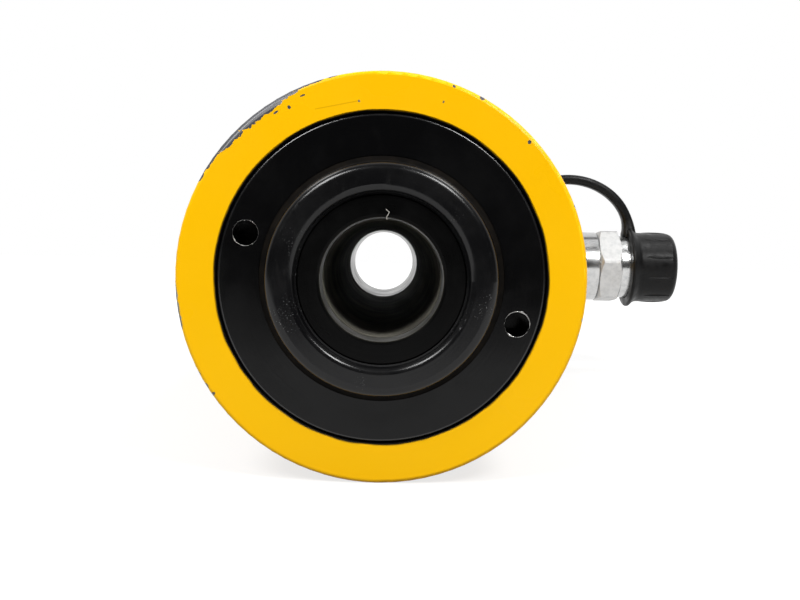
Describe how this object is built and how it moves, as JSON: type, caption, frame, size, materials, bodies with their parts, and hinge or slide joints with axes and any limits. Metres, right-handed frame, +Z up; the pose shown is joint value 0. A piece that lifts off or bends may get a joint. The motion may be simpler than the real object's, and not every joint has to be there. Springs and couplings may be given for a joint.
{
  "type": "hollow plunger hydraulic cylinder",
  "caption": "Single-acting hydraulic cylinder with a hollow plunger and through hole, screwed stop ring, spring return, side coupler and strapped dust cap.",
  "frame": {"origin": "on the cylinder's axis, at the rear base face", "axes": "-Y along the axis towards the plunger end, +X along the coupler, +Z up as it lies on its side"},
  "size_m": [0.214, 0.331, 0.1142],
  "materials": {
    "yellow_paint": "semi-gloss yellow enamel, chipped at the edges",
    "black_steel": "blackened steel, satin, turned",
    "tube_steel": "turned steel, oily",
    "zinc_plate": "bright zinc plate",
    "bearing_bronze": "satin bronze",
    "spring_steel": "drawn wire",
    "seal_rubber": "smooth nitrile rubber",
    "wiper_rubber": "brown urethane",
    "backup_plastic": "white PTFE",
    "wear_plastic": "filled nylon",
    "cap_rubber": "moulded black rubber"
  },
  "bodies": {
    "barrel": {"cylinder_body": "yellow_paint", "centre_tube": "tube_steel", "tube_o_ring": "seal_rubber", "tube_backup_ring": "backup_plastic", "tube_retaining_ring": "black_steel", "stop_ring": "black_steel", "gland_bearing": "bearing_bronze", "rod_wiper": "wiper_rubber", "return_spring": "spring_steel", "coupler_adapter": "zinc_plate", "coupler_nose": "zinc_plate", "nose_seal": "seal_rubber", "poppet_guide": "bearing_bronze", "poppet_spring": "spring_steel", "cap_strap": "cap_rubber"},
    "plunger": {"plunger": "black_steel", "saddle": "black_steel", "piston_seal": "seal_rubber", "piston_backup_ring": "backup_plastic", "piston_wear_ring": "wear_plastic", "inner_seal": "seal_rubber", "inner_backup_ring": "backup_plastic"},
    "coupler_poppet": {"poppet": "zinc_plate"},
    "dust_cap": {"dust_cap": "cap_rubber"}
  },
  "joints": [
    {"name": "plunger_slide", "type": "slide", "parent": "barrel", "child": "plunger", "axis": [0, -1, 0], "range_m": [0, 0.155], "stiffness_N_per_m": 1500, "springref_m": -0.06, "deforming": ["return_spring"]},
    {"name": "poppet_slide", "type": "slide", "parent": "barrel", "child": "coupler_poppet", "axis": [-1, 0, 0], "range_m": [0, 0.004], "stiffness_N_per_m": 1000, "springref_m": -0.004, "deforming": ["poppet_spring"]},
    {"name": "cap_pull", "type": "slide", "parent": "barrel", "child": "dust_cap", "axis": [1, 0, 0], "range_m": [0, 0.03], "deforming": ["cap_strap"]}
  ]
}
